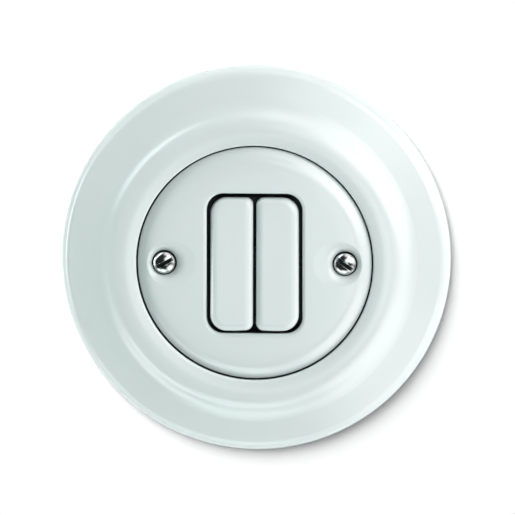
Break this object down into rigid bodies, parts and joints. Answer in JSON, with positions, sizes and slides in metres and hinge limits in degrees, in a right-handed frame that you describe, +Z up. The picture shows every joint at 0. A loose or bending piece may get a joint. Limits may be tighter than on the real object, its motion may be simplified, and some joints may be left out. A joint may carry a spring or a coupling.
{
  "type": "pushbutton switch",
  "caption": "Round glazed porcelain wall switch with side-by-side push rockers in a screwed centre plate, on a flush insert with spreading claws.",
  "frame": {"origin": "middle of the wall plane, halfway between the box screw holes, at the back of the support ring", "axes": "+X right, +Z up, -Y out of the wall towards the user"},
  "size_m": [0.1, 0.0341, 0.1],
  "materials": {
    "porcelain_glaze": "glossy cool white glaze on porcelain",
    "bright_nickel": "polished nickel plate",
    "zinc_steel": "bright zinc plated steel",
    "polished_steel": "ground steel pin",
    "spring_steel": "drawn spring wire",
    "black_moulding": "moulded, fine matt",
    "cream_thermoset": "pressed thermoset, matt",
    "white_moulding": "moulded, smooth",
    "brass": "turned and milled brass",
    "copper": "rolled copper strip",
    "silver": "silver contact disc"
  },
  "bodies": {
    "housing": {"cover_frame": "porcelain_glaze", "centre_plate": "porcelain_glaze", "plate_screws": "bright_nickel", "support_ring": "zinc_steel", "base_rivets": "zinc_steel", "claw_screws": "zinc_steel", "terminal_screws": "zinc_steel", "rocker_axle": "polished_steel", "left_return_spring": "spring_steel", "right_return_spring": "spring_steel", "mechanism_cover": "black_moulding", "insert_base": "cream_thermoset", "plate_bushes": "brass", "left_feed_terminal": "brass", "left_load_terminal": "brass", "right_feed_terminal": "brass", "right_load_terminal": "brass", "left_feed_contact": "copper", "left_load_contact": "copper", "right_feed_contact": "copper", "right_load_contact": "copper", "fixed_contact_tips": "silver"},
    "left_button": {"left_rocker": "porcelain_glaze", "left_cradle": "black_moulding"},
    "left_push_pin": {"left_plunger": "white_moulding", "left_contact_bridge": "copper", "left_bridge_tips": "silver"},
    "left_claw_arm": {"left_claw": "zinc_steel"},
    "right_button": {"right_rocker": "porcelain_glaze", "right_cradle": "black_moulding"},
    "right_push_pin": {"right_plunger": "white_moulding", "right_contact_bridge": "copper", "right_bridge_tips": "silver"},
    "right_claw_arm": {"right_claw": "zinc_steel"}
  },
  "joints": [
    {"name": "left_rocker_press", "type": "hinge", "parent": "housing", "child": "left_button", "pos_m": [-0.00586, -0.0058, 0], "axis": [1, 0, 0], "range_deg": [0, 5.6], "stiffness_Nm_per_rad": 0.03, "springref_deg": -17.19},
    {"name": "left_plunger_slide", "type": "slide", "parent": "housing", "child": "left_push_pin", "axis": [0, 1, 0], "range_m": [0, 0.0009], "deforming": ["left_return_spring"]},
    {"name": "left_claw_swing", "type": "hinge", "parent": "housing", "child": "left_claw_arm", "pos_m": [-0.0205, 0.0009, -0.009], "axis": [0, 0, 1], "range_deg": [0, 20]},
    {"name": "right_rocker_press", "type": "hinge", "parent": "housing", "child": "right_button", "pos_m": [0.00586, -0.0058, 0], "axis": [1, 0, 0], "range_deg": [0, 5.6], "stiffness_Nm_per_rad": 0.03, "springref_deg": -17.19},
    {"name": "right_plunger_slide", "type": "slide", "parent": "housing", "child": "right_push_pin", "axis": [0, 1, 0], "range_m": [0, 0.0009], "deforming": ["right_return_spring"]},
    {"name": "right_claw_swing", "type": "hinge", "parent": "housing", "child": "right_claw_arm", "pos_m": [0.0205, 0.0009, 0.009], "axis": [0, 0, -1], "range_deg": [0, 20]}
  ],
  "couplings": [
    {"joint": "left_plunger_slide", "follows": "left_rocker_press", "m_per_rad": 0.009},
    {"joint": "right_plunger_slide", "follows": "right_rocker_press", "m_per_rad": 0.009}
  ]
}
